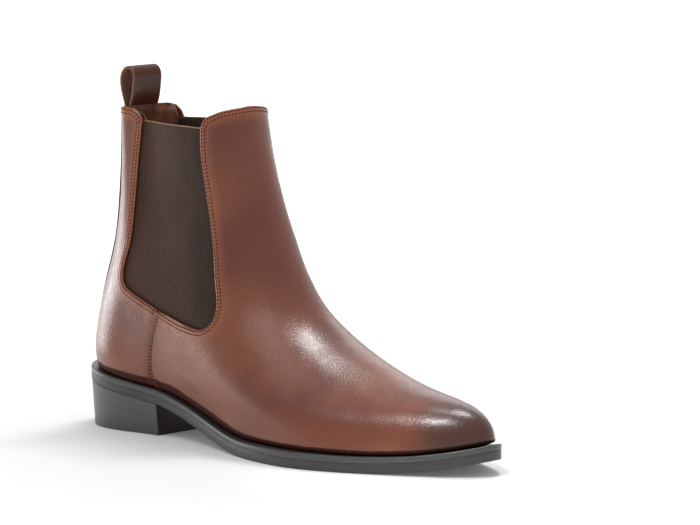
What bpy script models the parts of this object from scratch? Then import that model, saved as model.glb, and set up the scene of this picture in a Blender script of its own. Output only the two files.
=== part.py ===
"""Chelsea boot for the right foot: lasted leather upper with elastic side gores, pull tab,
linings, stiffeners, insole, shank, welt, outsole and a stacked heel.
Lengths are millimetres in the constants and metres in the mesh.
+X toe, +Y inner (medial) side, +Z up; origin on the floor under the middle of the boot."""
import bpy
import bmesh
import numpy as np
from mathutils import Vector

for old in list(bpy.data.objects):
    bpy.data.objects.remove(old, do_unlink=True)

# ---------------------------------------------------------------- sole plan and side profile
SOLE_LEN = 268.0
PLAN_KNOTS = [0, 0.08, 0.2, 0.42, 0.68, 0.86, 1.0]      # fractions of the length, heel to toe
SOLE_HALF = [63, 52, 35, 35, 49.5, 42, 38]            # width numbers of the sole edge
AXIS_KNOTS = [0, 0.2, 0.42, 0.68, 1.0]
AXIS_Y = [0, 0, -2, -4, 0]                              # middle of the sole, side to side
BREAST_X = 62.5                                         # front face of the heel
HEEL_BACK_Z, HEEL_BREAST_Z = 25.0, 16.4                 # underside of the outsole over the heel
ARCH_SLOPE, TREAD_X0 = -0.22, 142.0
SPRING_X0, SPRING_Z, SPRING_POWER = 200.0, 8.0, 2.4
EDGE_HEEL, EDGE_FORE = 7.0, 8.0                         # welt plus outsole, seen at the edge
WELT_T, WELT_W = 3.0, 9.5
GAP = 0.3
# ---------------------------------------------------------------- last: slices, feather to collar
BACK_S = np.arange(8) / 7.0
BACK_X = [4, 2.5, 2, 5, 12, 15.5, 17.5, 18]
BACK_Z = [30, 38, 50, 70, 95, 120, 145, 165]
FRONT_S = [0, 0.05] + [i / 7.0 for i in range(1, 8)]
FRONT_X = [264.5, 262.8, 251, 217.5, 178.5, 145, 125, 111, 102]
FRONT_Z = [14.5, 21, 30.5, 37.5, 49.5, 69, 100, 134, 172]
WIDTH_S = [0, 1 / 7.0, 3 / 7.0, 5 / 7.0, 1]
WIDTHS = [[58, 49.5, 33, 32.5, 45.5, 41, 37],
          [58, 51, 36, 35, 45.5, 41.5, 38],
          [40, 39, 34.5, 33, 39, 39, 37],
          [26, 28.5, 23.5, 23, 28, 33, 35],
          [26, 28.5, 20.5, 20.5, 26, 33, 35]]
SHAFT_Y = 1.5                                           # middle of the shaft, side to side
# ---------------------------------------------------------------- pattern lines, side view (x, z)
SEAM = [(61, 23.5), (59, 28), (58, 32), (58.3, 37), (60, 45.5), (62.8, 55.5), (65, 62.5)]
GORE_LOW_FRONT = [(67, 65.2), (82.5, 61.3), (96.0, 59.4), (104.3, 60.2), (108.4, 63.6)]
GORE_FRONT = [(109.4, 69), (105.9, 80), (101.0, 98.5), (96.2, 118.5), (91.7, 138), (90.0, 149), (89.8, 159.3)]
GORE_LOW_REAR = [(61.5, 66.6), (49.2, 70.2), (41.3, 72.8), (36.0, 75.8)]
GORE_REAR = [(34.0, 80), (34.2, 87), (36.2, 95), (37.0, 108), (37.4, 125), (38.3, 142), (40, 159.3)]
FRONT_TOP = [(89.8, 159.3), (90.8, 162.6), (93.5, 165.4), (97, 167.4), (100.5, 168.9), (102.4, 169.8)]
REAR_TOP = [(18, 165), (27, 165.5), (34, 165), (38, 162.8), (40, 159.3)]
GORE_TOP_Z = 158.8
# ---------------------------------------------------------------- layers, measured inwards
UPPER_T, GORE_AT, GORE_T = 1.5, 2.0, 1.0
LINING_AT, LINING_T, LINING_TOP_AT = 4.0, 0.8, 1.8
STIFF_AT, STIFF_T = 1.95, 0.85
MARGIN_W, BOTTOM_S = 8.0, 0.045
STRIP_W, STRIP_T = 18.0, 1.0
BOARD_T, SOCK_T, FILLER_IN = 2.0, 1.0, 13.5
SHANK = (34.0, 128.0, 12.0, 1.2)
TOP_PIECE_T, HEEL_TAPER = 4.0, 1.6
NAILS = [(17, 0), (28, -13), (28, 13), (46, -13), (46, 13)]
NAIL_R, NAIL_HEAD_R, NAIL_HEAD_T, NAIL_LEN, NAIL_SIDES = 0.9, 1.9, 0.8, 22.0, 10
# ---------------------------------------------------------------- pull tab, side view (x, z)
TAB_W, TAB_T = 20.0, 1.6
TAB_LOOP = [(21.4, 166.0), (20.6, 170), (20.2, 175), (20.9, 180.5), (23.6, 184.6), (27.4, 184.8),
            (29.3, 181.6), (28.6, 176.5), (26.4, 171), (24.1, 166.0)]
TAB_PIVOT = (22.7, 165.9)
ANCHOR_S0, ANCHOR_T = 0.87, 1.4
# ---------------------------------------------------------------- colours
LEATHER, LEATHER_EDGE = (0.20, 0.065, 0.032), (0.11, 0.035, 0.02)
LINING, ELASTIC, BLACK = (0.24, 0.115, 0.06), (0.036, 0.019, 0.014), (0.018, 0.017, 0.018)


def spline(xs, ys):
    """Natural cubic spline through the points; ys may hold several columns."""
    xs, ys = np.asarray(xs, float), np.asarray(ys, float)
    n, h = len(xs), np.diff(xs)
    a, r = np.eye(n), np.zeros(ys.shape)
    for i in range(1, n - 1):
        a[i, i - 1], a[i, i], a[i, i + 1] = h[i - 1], 2 * (h[i - 1] + h[i]), h[i]
        r[i] = 6 * ((ys[i + 1] - ys[i]) / h[i] - (ys[i] - ys[i - 1]) / h[i - 1])
    m = np.linalg.solve(a, r)

    def at(x):
        x = np.asarray(x, float)
        i = np.clip(np.searchsorted(xs, x) - 1, 0, n - 2)
        pad = (...,) + (None,) * (ys.ndim - 1)
        t, w, d = (x - xs[i])[pad], (xs[i + 1] - x)[pad], h[i][pad]
        return (m[i] * w ** 3 / (6 * d) + m[i + 1] * t ** 3 / (6 * d)
                + (ys[i] / d - m[i] * d / 6) * w + (ys[i + 1] / d - m[i + 1] * d / 6) * t)
    return at


def smooth(t):
    t = np.clip(t, 0, 1)
    return t * t * (3 - 2 * t)


PLAN = spline(PLAN_KNOTS, np.eye(7))
AXIS = spline(AXIS_KNOTS, AXIS_Y)
XB, ZB = spline(BACK_S, BACK_X), spline(BACK_S, BACK_Z)
XF, ZF = spline(FRONT_S, FRONT_X), spline(FRONT_S, FRONT_Z)
WROWS = spline(WIDTH_S, np.eye(5))


def edge_thickness(x):
    return EDGE_HEEL + (EDGE_FORE - EDGE_HEEL) * smooth((x - 40.0) / 90.0)


def tread_z(x):
    """Underside of the outsole: heel seat, arch, flat tread and toe spring."""
    x = np.clip(np.asarray(x, float), 0, SOLE_LEN)
    seat = HEEL_BACK_Z + (HEEL_BREAST_Z - HEEL_BACK_Z) * x / BREAST_X
    span = TREAD_X0 - BREAST_X
    t = np.clip((x - BREAST_X) / span, 0, 1)
    arch = HEEL_BREAST_Z * (2 * t ** 3 - 3 * t ** 2 + 1) + span * ARCH_SLOPE * (t ** 3 - 2 * t ** 2 + t)
    toe = SPRING_Z * np.clip((x - SPRING_X0) / (SOLE_LEN - SPRING_X0), 0, 1) ** SPRING_POWER
    return np.where(x < BREAST_X, seat, np.where(x < TREAD_X0, arch, toe))


def welt_z(x):
    return tread_z(x) + edge_thickness(x)


def sole_edge(th, inset=0.0):
    """Plan outline of the sole; th runs 0 heel, pi toe on the outer side, 2 pi back on the inner side."""
    def raw(a):
        u = (1 - np.cos(a)) / 2
        return np.stack([SOLE_LEN * u, AXIS(u) - np.sin(a) * (PLAN(u) @ np.array(SOLE_HALF, float))], -1)
    return move_in(raw, np.asarray(th, float), inset)


def move_in(raw, th, inset):
    e = 1e-4
    d = raw(th + e) - raw(th - e)
    d /= np.linalg.norm(d, axis=-1, keepdims=True)
    return raw(th) + np.stack([-d[..., 1], d[..., 0]], -1) * np.asarray(inset)[..., None]


def last_point(th, s):
    """Outer face of the upper: th round the foot, s from the feather line up to the collar."""
    th, s = np.broadcast_arrays(np.asarray(th, float), np.asarray(s, float))
    u, c = (1 - np.cos(th)) / 2, np.clip(s, 0, 1)
    half = (PLAN(u) @ np.array(WIDTHS, float).T * WROWS(c)).sum(-1)
    xb, xf, zb, zf = XB(c), XF(c), ZB(c), ZF(c)
    m, f = smooth(c / 0.7), 1 - smooth(c / 0.55)
    x = xb + (xf - xb) * u
    y = -np.sin(th) * half + (1 - m) * AXIS(u) + m * SHAFT_Y
    x0 = XB(0) + (XF(0) - XB(0)) * u
    sag = welt_z(x0) + GAP - (ZB(0) + (ZF(0) - ZB(0)) * u)
    return np.stack([x, y, zb + (zf - zb) * u + f * sag], -1)


def feather(th, inset=0.0):
    return move_in(lambda a: last_point(a, 0.0)[..., :2], np.asarray(th, float), inset)


def skin(th, s, depth=0.0):
    """Point at a depth under the outer face; s below 0 is the lasting margin under the insole."""
    th, s, depth = np.broadcast_arrays(*(np.asarray(v, float) for v in (th, s, depth)))
    c, e = np.clip(s, 0, 1), 1e-4
    lo, hi = np.clip(c - e, 0, 1), np.clip(c + e, 0, 1)
    n = np.cross(last_point(th + e, c) - last_point(th - e, c), last_point(th, hi) - last_point(th, lo))
    n /= np.linalg.norm(n, axis=-1, keepdims=True)
    p = last_point(th, c)
    under = np.clip(-s, 0, None)
    q = feather(th, under)
    flat = np.concatenate([q, (welt_z(q[..., 0]) + GAP)[..., None]], -1)
    p = np.where((s < 0)[..., None], flat, p)
    down = np.broadcast_to(np.array([0, 0, -1.0]), n.shape)
    fold = n + down
    n = np.where((s < -1e-6)[..., None], down, np.where((s < 1e-6)[..., None], fold, n))
    return p - n * depth[..., None]


def locate(x, z):
    """Round-the-foot angle and slice of a side-view point."""
    lo, hi = np.zeros(np.shape(x)), np.ones(np.shape(x))
    for _ in range(40):
        mid = (lo + hi) / 2
        u = np.clip((x - XB(mid)) / (XF(mid) - XB(mid)), 0, 1)
        low = last_point(np.arccos(1 - 2 * u), mid)[..., 2] < z
        lo, hi = np.where(low, mid, lo), np.where(low, hi, mid)
    return np.arccos(1 - 2 * u), mid


def line(points, n, dx=0.0):
    """n + 1 evenly spaced (th, s) pairs along a side-view curve through the points."""
    p = np.asarray(points, float)
    k = np.concatenate([[0], np.cumsum(np.linalg.norm(np.diff(p, axis=0), axis=1))])
    q = spline(k, p)(np.linspace(0, k[-1], 400))
    d = np.concatenate([[0], np.cumsum(np.linalg.norm(np.diff(q, axis=0), axis=1))])
    x, z = (np.interp(np.linspace(0, d[-1], n + 1), d, q[:, i]) for i in (0, 1))
    return locate(x + dx, z)


# ---------------------------------------------------------------- object helpers
BOOT = bpy.data.collections.new("chelsea_boot")
CUTTERS = bpy.data.collections.new("cutters")
for coll in (BOOT, CUTTERS):
    bpy.context.scene.collection.children.link(coll)
CUTTERS.hide_render = True
_plan = sole_edge(np.linspace(0, 2 * np.pi, 721))
CENTRE = np.array([SOLE_LEN / 2, (_plan[:, 1].min() + _plan[:, 1].max()) / 2, 0.0])


def material(name, colour, rough, metal=0.0):
    mat = bpy.data.materials.get(name) or bpy.data.materials.new(name)
    mat.use_nodes = True
    shader = mat.node_tree.nodes["Principled BSDF"]
    shader.inputs["Base Color"].default_value = (*colour, 1)
    shader.inputs["Roughness"].default_value = rough
    shader.inputs["Metallic"].default_value = metal
    mat.diffuse_color = (*colour, 1)
    return mat


def new_object(name, verts, faces, mat=None, coll=BOOT, origin=(0, 0, 0), sharp=35.0):
    """Mesh object from millimetre points; origin is the object's own origin in the same frame."""
    at = (np.asarray(origin, float) - CENTRE) * 0.001 if any(origin) else np.zeros(3)
    pts = (np.asarray(verts, float) - CENTRE) * 0.001 - at
    mesh = bpy.data.meshes.new(name)
    mesh.from_pydata([tuple(p) for p in pts], [], faces)
    bm = bmesh.new()
    bm.from_mesh(mesh)
    bmesh.ops.remove_doubles(bm, verts=bm.verts, dist=1e-6)
    bmesh.ops.dissolve_degenerate(bm, edges=bm.edges, dist=1e-6)
    bmesh.ops.recalc_face_normals(bm, faces=bm.faces)
    bm.to_mesh(mesh)
    bm.free()
    for poly in mesh.polygons:
        poly.use_smooth = True
    mesh.set_sharp_from_angle(angle=np.radians(sharp))
    obj = bpy.data.objects.new(name, mesh)
    obj.location = Vector(at)
    coll.objects.link(obj)
    if mat:
        mesh.materials.append(mat)
    if coll is CUTTERS:
        obj.hide_render, obj.display_type = True, "WIRE"
    return obj


def grid_faces(rows, cols):
    return [(r * cols + c, r * cols + c + 1, (r + 1) * cols + c + 1, (r + 1) * cols + c)
            for r in range(rows - 1) for c in range(cols - 1)]


def panel(name, th, s, depth, thick, mat):
    """Leather or fabric panel: a grid on the last, thickened inwards."""
    outer = skin(th, s, depth)
    inner = skin(th, s, np.asarray(depth) + thick)
    rows, cols = th.shape
    n = rows * cols
    faces = grid_faces(rows, cols) + [tuple(n + i for i in reversed(f)) for f in grid_faces(rows, cols)]
    rim = ([(0, c) for c in range(cols)] + [(r, cols - 1) for r in range(1, rows)]
           + [(rows - 1, c) for c in range(cols - 2, -1, -1)] + [(r, 0) for r in range(rows - 2, 0, -1)])
    ids = [r * cols + c for r, c in rim]
    faces += [(ids[i - 1], ids[i], ids[i] + n, ids[i - 1] + n) for i in range(len(ids))]
    return new_object(name, np.concatenate([outer.reshape(-1, 3), inner.reshape(-1, 3)]), faces, mat)


def slab(name, edge, rows, stations, mat, coll=BOOT):
    """Solid sole layer: rungs across an outline, rows = [(inset, height function)] top to bottom."""
    sides = []
    for sign in (1, -1):
        side = []
        for inset, height in rows:
            p = edge(sign * np.asarray(stations), inset)
            side.append(np.concatenate([p, height(p[:, 0])[:, None]], 1))
        sides.append(np.array(side))
    k, n = len(rows), len(stations)
    verts = np.concatenate([s.reshape(-1, 3) for s in sides])

    def vid(side, row, i):
        return side * k * n + row * n + i
    faces = []
    for i in range(n - 1):
        for r in range(k - 1):
            faces.append((vid(0, r, i), vid(0, r, i + 1), vid(0, r + 1, i + 1), vid(0, r + 1, i)))
            faces.append((vid(1, r, i), vid(1, r + 1, i), vid(1, r + 1, i + 1), vid(1, r, i + 1)))
        faces.append((vid(0, 0, i), vid(1, 0, i), vid(1, 0, i + 1), vid(0, 0, i + 1)))
        faces.append((vid(0, k - 1, i), vid(0, k - 1, i + 1), vid(1, k - 1, i + 1), vid(1, k - 1, i)))
    for i in (0, n - 1):
        if np.abs(verts[vid(0, 0, i)] - verts[vid(1, 0, i)]).max() > 1e-3:
            faces.append([vid(0, r, i) for r in range(k)] + [vid(1, r, i) for r in reversed(range(k))])
    return new_object(name, verts, clean(verts, faces), mat, coll)


def clean(verts, faces):
    """Drop repeated corners where an outline closes to a point."""
    out = []
    for f in faces:
        keep = []
        for i in f:
            if not any(np.abs(verts[i] - verts[j]).max() < 1e-6 for j in keep):
                keep.append(i)
        if len(keep) > 2:
            out.append(tuple(keep))
    return out


def ring(name, edge, section, count, mat):
    """Closed strip round an outline; section = [(inset, height function)] round its cross-section."""
    th = np.linspace(0, 2 * np.pi, count, endpoint=False)
    k = len(section)
    cols = []
    for inset, height in section:
        p = edge(th, inset)
        cols.append(np.concatenate([p, height(p[:, 0])[:, None]], 1))
    verts = np.stack(cols, 1).reshape(-1, 3)
    faces = [(i * k + j, i * k + (j + 1) % k, (i + 1) % count * k + (j + 1) % k, (i + 1) % count * k + j)
             for i in range(count) for j in range(k)]
    return new_object(name, verts, faces, mat)


def turned(name, x, y, profile, sides, mat=None, coll=BOOT):
    """Round upright piece from (radius, z) points, top to bottom."""
    a = np.linspace(0, 2 * np.pi, sides, endpoint=False)
    verts = np.array([(x + r * np.cos(t), y + r * np.sin(t), z) for r, z in profile for t in a])
    faces = [(r * sides + i, r * sides + (i + 1) % sides, (r + 1) * sides + (i + 1) % sides, (r + 1) * sides + i)
             for r in range(len(profile) - 1) for i in range(sides)]
    faces += [tuple(range(sides)), tuple((len(profile) - 1) * sides + i for i in reversed(range(sides)))]
    return new_object(name, verts, faces, mat, coll)


def cut(obj, cutter):
    mod = obj.modifiers.new("cut_" + cutter.name, "BOOLEAN")
    mod.operation, mod.solver, mod.object = "DIFFERENCE", "EXACT", cutter


def lift(height, dz):
    return lambda x: height(x) + dz


# ---------------------------------------------------------------- materials
leather = material("leather", LEATHER, 0.36)
leather_dark = material("leather_dark", LEATHER_EDGE, 0.32)
lining_leather = material("lining_leather", LINING, 0.85)
elastic = material("elastic", ELASTIC, 0.8)
stiffener = material("stiffener", (0.5, 0.42, 0.3), 0.9)
board_mat = material("board", (0.42, 0.3, 0.18), 0.9)
sock_mat = material("sock", (0.12, 0.06, 0.035), 0.6)
filler_mat = material("filler", (0.35, 0.22, 0.12), 0.95)
steel = material("steel", (0.55, 0.55, 0.56), 0.35, 1.0)
rubber = material("sole_black", BLACK, 0.4)
heel_mat = material("heel_black", BLACK, 0.32)
top_piece_mat = material("top_piece_rubber", (0.014, 0.014, 0.015), 0.55)

# ---------------------------------------------------------------- upper panels
SEAM_N, LOW_N, EDGE_N = 9, 9, 20


def side_boundary(low, edge, dx):
    """Seam, gore bottom and gore edge as one (th, s) line, bottom to top."""
    parts = [line(SEAM, SEAM_N, dx), line(low, LOW_N), line(edge, EDGE_N)]
    th, s = (np.concatenate([p[i] for p in parts]) for i in (0, 1))
    s[0] = 0.0
    return th, s


def crown(points, th_side):
    """Collar line: slice number against the fraction of the way from centre line to side edge."""
    p = np.asarray(points, float)
    th, s = locate(p[:, 0], p[:, 1])
    return th, s


def front_grid(depth_rows=None, half_cols=15, low=GORE_LOW_FRONT, edge=GORE_FRONT, dx=0.2, s_low=0.0):
    tb, sb = side_boundary(low, edge, dx)
    rows = len(tb)
    v = np.linspace(0, 1, rows)
    v1, v2 = SEAM_N / (rows - 1), (SEAM_N + LOW_N + 1) / (rows - 1)
    tt, ts = crown(FRONT_TOP, None)
    order = np.argsort(tt)
    tt, ts = tt[order], ts[order]
    sc = np.interp(v, [0, v1, v2, 1], [0, 0.38, 0.53, ts[-1]])
    a = np.linspace(-1, 1, 2 * half_cols + 1)
    th = np.pi + a[None] * (np.pi - tb[:, None])
    w = np.abs(a)[None] ** 1.5
    s = (1 - w) * sc[:, None] + w * sb[:, None]
    top = np.interp(np.pi - np.abs(a) * (np.pi - tb[-1]), tt, ts)
    s += (v ** 10)[:, None] * (top - s[-1])[None]
    return th, np.maximum(s, s_low)


def rear_grid(cols=8, full=False, s_low=0.0, dx=-0.2):
    tb, sb = side_boundary(GORE_LOW_REAR, GORE_REAR, dx)
    rows = len(tb)
    v = np.linspace(0, 1, rows)
    v1, v2 = SEAM_N / (rows - 1), (SEAM_N + LOW_N + 1) / (rows - 1)
    tt, ts = crown(REAR_TOP, None)
    sk = np.interp(v, [0, v1, v2, 1], [0, 0.36, 0.52, ts[0]])
    a = np.linspace(-1, 1, 2 * cols + 1) if full else np.linspace(0, 1, cols + 1)
    th = a[None] * tb[:, None]
    w = np.abs(a)[None] ** 1.5
    s = (1 - w) * sk[:, None] + w * sb[:, None]
    top = np.interp(np.abs(a) * tb[-1], tt, ts)
    s += (v ** 10)[:, None] * (top - s[-1])[None]
    if not full:
        th = th + (1 - a)[None] * 0.006
    return th, np.maximum(s, s_low)


def with_margin(th, s):
    """Add the lasting margin that turns under the insole."""
    steps = [-MARGIN_W, -MARGIN_W / 2]
    return np.concatenate([th[:1]] * 2 + [th]), np.concatenate([np.full_like(s[:1], d) for d in steps] + [s])


def lining_depth(s):
    return LINING_AT - (LINING_AT - LINING_TOP_AT) * smooth((s - 0.965) / 0.028)


th, s = with_margin(*front_grid())
panel("front_upper", th, s, 0.0, UPPER_T, leather)
th, s = with_margin(*rear_grid())
panel("rear_upper_lateral", th, s, 0.0, UPPER_T, leather)
panel("rear_upper_medial", -th, s, 0.0, UPPER_T, leather)

th, s = front_grid(half_cols=11, dx=0.6, s_low=BOTTOM_S)
keep = [i for i in range(len(s)) if i == 0 or s[i].min() > BOTTOM_S + 0.01]
keep = keep[:1] + keep[1::2] + ([keep[-1]] if keep[-1] not in keep[1::2] else [])
panel("front_lining", th[keep], s[keep], lining_depth(s[keep]), LINING_T, lining_leather)
th, s = rear_grid(cols=7, full=True, dx=-0.6, s_low=BOTTOM_S)
keep = [i for i in range(len(s)) if i == 0 or s[i].min() > BOTTOM_S + 0.01]
keep = keep[:1] + keep[1::2] + ([keep[-1]] if keep[-1] not in keep[1::2] else [])
panel("rear_lining", th[keep], s[keep], lining_depth(s[keep]), LINING_T, lining_leather)

# elastic gores run under the leather edges
GROWS, GCOLS = 14, 9
gz = np.linspace(0, 1, GROWS)
rear_x, rear_z = spline([0, 0.25, 0.6, 1], [[30.5, 70], [31, 90], [32.3, 125], [33.5, GORE_TOP_Z]])(gz).T
front_x, front_z = spline([0, 0.25, 0.6, 1], [[117.5, 56], [111.5, 85], [101.5, 122], [96.5, GORE_TOP_Z]])(gz).T
(rt, rs), (ft, fs) = locate(rear_x, rear_z), locate(front_x, front_z)
a = np.linspace(0, 1, GCOLS)[None]
th, s = rt[:, None] * (1 - a) + ft[:, None] * a, rs[:, None] * (1 - a) + fs[:, None] * a
panel("gore_lateral", th, s, GORE_AT, GORE_T, elastic)
panel("gore_medial", -th, s, GORE_AT, GORE_T, elastic)

# back strip over the closing seam
v = np.linspace(0.012, 0.985, 22)
half = np.interp(v, [0, 0.4, 1], [STRIP_W * 0.62, STRIP_W * 0.55, STRIP_W * 0.55])
reach = half / (PLAN(0.0) @ np.array(WIDTHS, float).T * WROWS(v)).sum(-1)
a = np.linspace(-1, 1, 5)[None]
th = a * reach[:, None]
panel("back_strip", th, np.repeat(v[:, None], 5, 1), -GAP - STRIP_T, STRIP_T, leather_dark)

# stiffeners between upper and lining
a = np.linspace(-1, 1, 17)[None]
v = np.linspace(0, 1, 7)[:, None]
panel("toe_puff", np.pi + a * (0.95 - 0.35 * v), 0.055 + 0.15 * v * (1 - 0.35 * a ** 2), STIFF_AT, STIFF_T,
      stiffener)
v = np.linspace(0, 1, 8)[:, None]
panel("heel_counter", a * (0.92 - 0.18 * v), 0.05 + 0.32 * v * (1 - 0.25 * a ** 2), STIFF_AT, STIFF_T,
      stiffener)

# ---------------------------------------------------------------- bottom
N_STATIONS = 30
full = np.linspace(0, np.pi, N_STATIONS)
slab("outsole", sole_edge,
     [(1.0, lift(welt_z, -WELT_T - GAP)), (0.2, lift(welt_z, -WELT_T - GAP - 0.7)),
      (0.2, lift(tread_z, 0.9)), (1.1, tread_z)], full, rubber)
ring("welt", sole_edge,
     [(0.8, welt_z), (0.0, lift(welt_z, -0.7)), (0.0, lift(welt_z, -WELT_T + 0.5)),
      (0.6, lift(welt_z, -WELT_T)), (WELT_W, lift(welt_z, -WELT_T)), (WELT_W, welt_z)], 64, rubber)


def inner_edge(th, inset):
    """Feather outline drawn in by scaling, for layers far inside the edge."""
    p = feather(th, 0.0)
    mid_x, mid_y = (XB(0) + XF(0)) / 2, AXIS((1 - np.cos(np.asarray(th, float))) / 2)
    return np.stack([mid_x + (p[..., 0] - mid_x) * (1 - inset / 131.0),
                     mid_y + (p[..., 1] - mid_y) * (1 - inset / 33.0)], -1)


filler = slab("bottom_filler", inner_edge,
              [(FILLER_IN, lift(welt_z, UPPER_T + GAP)), (FILLER_IN, lift(welt_z, -WELT_T))],
              full, filler_mat)
board = slab("insole_board", feather,
             [(4.7, lift(welt_z, UPPER_T + 2 * GAP + BOARD_T)), (4.7, lift(welt_z, UPPER_T + 2 * GAP))],
             full, board_mat)
SOCK_Z = UPPER_T + 3 * GAP + BOARD_T


def sock_edge(th, inset):
    u = (1 - np.cos(np.asarray(th, float))) / 2
    return feather(th, inset + 3.0 * smooth((u - 0.7) / 0.3))


slab("sock_liner", sock_edge,
     [(5.8, lift(welt_z, SOCK_Z + SOCK_T)), (5.8, lift(welt_z, SOCK_Z))], full, sock_mat)

# steel shank in a groove of the filler
def strip_edge(x0, x1, half_w):
    def edge(th, inset):
        t = np.abs(np.asarray(th, float)) / np.pi
        x = x0 + (x1 - x0) * t
        w = half_w * np.minimum(1, 6 * np.sqrt(np.clip(t * (1 - t), 0, 1)) + 0.35)
        y = AXIS(x / SOLE_LEN) - np.sign(np.asarray(th, float) + 1e-12) * w
        return np.stack([x, y], -1)
    return edge


SHANK_Z = 0.3
groove_st = np.linspace(1e-6, np.pi, 12)
x0, x1, w, t = SHANK
slab("shank", strip_edge(x0, x1, w / 2),
     [(0, lift(welt_z, SHANK_Z)), (0, lift(welt_z, SHANK_Z - t))], groove_st, steel)
groove = slab("shank_groove", strip_edge(x0 - 1, x1 + 1, w / 2 + GAP + 0.1),
              [(0, lift(welt_z, 6)), (0, lift(welt_z, SHANK_Z - t - GAP))], groove_st, None, CUTTERS)
cut(filler, groove)

# heel block and top piece
th_breast = np.arccos(1 - 2 * BREAST_X / SOLE_LEN)
heel_st = np.concatenate([np.linspace(0, 0.62 * th_breast, 8), np.linspace(0.75 * th_breast, th_breast, 3)])


def heel_z(z):
    return lambda x: np.full(np.shape(x), float(z))


heel = slab("heel_block", sole_edge,
            [(0.5, lift(tread_z, -GAP)), (HEEL_TAPER, heel_z(TOP_PIECE_T + GAP))], heel_st, heel_mat)
slab("heel_top_piece", sole_edge,
     [(HEEL_TAPER, heel_z(TOP_PIECE_T)), (HEEL_TAPER + 0.1, heel_z(0.5)), (HEEL_TAPER + 0.6, heel_z(0))],
     heel_st, top_piece_mat)

# heel nails driven from the insole
for i, (nx, ny) in enumerate(NAILS, 1):
    top = float(welt_z(nx)) + UPPER_T + 2 * GAP + BOARD_T - 0.35
    prof = [(NAIL_HEAD_R, top), (NAIL_HEAD_R, top - NAIL_HEAD_T), (NAIL_R, top - NAIL_HEAD_T),
            (NAIL_R, top - NAIL_LEN + 2), (0.3, top - NAIL_LEN)]
    turned("heel_nail_%d" % i, nx, ny, prof, NAIL_SIDES, steel)
    c = 0.25
    hole = [(NAIL_HEAD_R + c, top + 4), (NAIL_HEAD_R + c, top - NAIL_HEAD_T - c),
            (NAIL_R + c, top - NAIL_HEAD_T - c), (NAIL_R + c, top - NAIL_LEN - 1)]
    cutter = turned("nail_hole_%d" % i, nx, ny, hole, NAIL_SIDES, None, CUTTERS)
    for body in (board, filler, bpy.data.objects["outsole"], heel):
        cut(body, cutter)

# ---------------------------------------------------------------- pull tab
p = np.asarray(TAB_LOOP, float)
k = np.concatenate([[0], np.cumsum(np.linalg.norm(np.diff(p, axis=0), axis=1))])
mid = spline(k, p)(np.linspace(0, k[-1], 25))
d = np.gradient(mid, axis=0)
d /= np.linalg.norm(d, axis=1, keepdims=True)
nrm = np.stack([-d[:, 1], d[:, 0]], 1)
outer, inner = mid + nrm * TAB_T / 2, mid - nrm * TAB_T / 2
outer[0, 1] = outer[-1, 1] = inner[0, 1] = inner[-1, 1] = mid[0, 1]
COLLAR_R = 16.0


def bow(y, z):
    """The strap follows the curve of the collar at its root and straightens towards its top."""
    fade = 1 - smooth((z - TAB_LOOP[0][1]) / 8.0)
    return (COLLAR_R - np.sqrt(COLLAR_R ** 2 - y ** 2)) * fade


ys = np.linspace(-TAB_W / 2, TAB_W / 2, 7)
verts, faces, m = [], [], len(mid)
for y in ys:
    for row in (outer, inner):
        verts += [(x + float(bow(y, z)), y + SHAFT_Y, z) for x, z in row]
cols = 2 * m
loop = list(range(m)) + [m + i for i in reversed(range(m))]
for j in range(len(ys) - 1):
    for i in range(len(loop)):
        p0, p1 = loop[i - 1], loop[i]
        faces.append((j * cols + p0, j * cols + p1, (j + 1) * cols + p1, (j + 1) * cols + p0))
for j in (0, len(ys) - 1):
    faces += [(j * cols + i, j * cols + i + 1, j * cols + m + i + 1, j * cols + m + i) for i in range(m - 1)]
tab = new_object("pull_tab", verts, faces, leather_dark, origin=(TAB_PIVOT[0], SHAFT_Y, TAB_PIVOT[1]))

v = np.linspace(ANCHOR_S0, 0.994, 8)
reach = (TAB_W / 2) / (PLAN(0.0) @ np.array(WIDTHS, float).T * WROWS(v)).sum(-1)
a = np.linspace(-1, 1, 7)[None]
sv = np.repeat(v[:, None], 7, 1)
panel("pull_tab_anchor", a * reach[:, None], sv, lining_depth(sv) + LINING_T + 2.5 * GAP, ANCHOR_T, leather_dark)
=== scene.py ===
"""Looks of the chelsea boot: lasted leather panels, gores, linings, stitches, sole, light and camera."""
import bpy
import bmesh
import numpy as np
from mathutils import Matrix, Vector, kdtree, noise


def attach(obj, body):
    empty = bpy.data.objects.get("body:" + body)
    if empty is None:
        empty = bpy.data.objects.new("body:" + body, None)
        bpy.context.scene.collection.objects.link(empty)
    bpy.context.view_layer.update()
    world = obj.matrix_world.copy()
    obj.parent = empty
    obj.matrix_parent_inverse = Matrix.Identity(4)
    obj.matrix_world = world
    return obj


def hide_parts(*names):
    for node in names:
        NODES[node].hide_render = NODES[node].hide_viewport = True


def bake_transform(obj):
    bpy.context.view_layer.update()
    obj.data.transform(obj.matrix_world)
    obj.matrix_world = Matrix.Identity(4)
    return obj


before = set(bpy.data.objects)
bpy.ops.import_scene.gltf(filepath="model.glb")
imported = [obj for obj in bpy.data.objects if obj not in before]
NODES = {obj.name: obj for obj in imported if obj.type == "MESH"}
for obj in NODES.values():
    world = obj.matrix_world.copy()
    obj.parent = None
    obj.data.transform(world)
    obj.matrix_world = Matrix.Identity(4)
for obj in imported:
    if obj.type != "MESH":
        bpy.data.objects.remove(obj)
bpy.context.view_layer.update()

SCENE = bpy.context.scene

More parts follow.
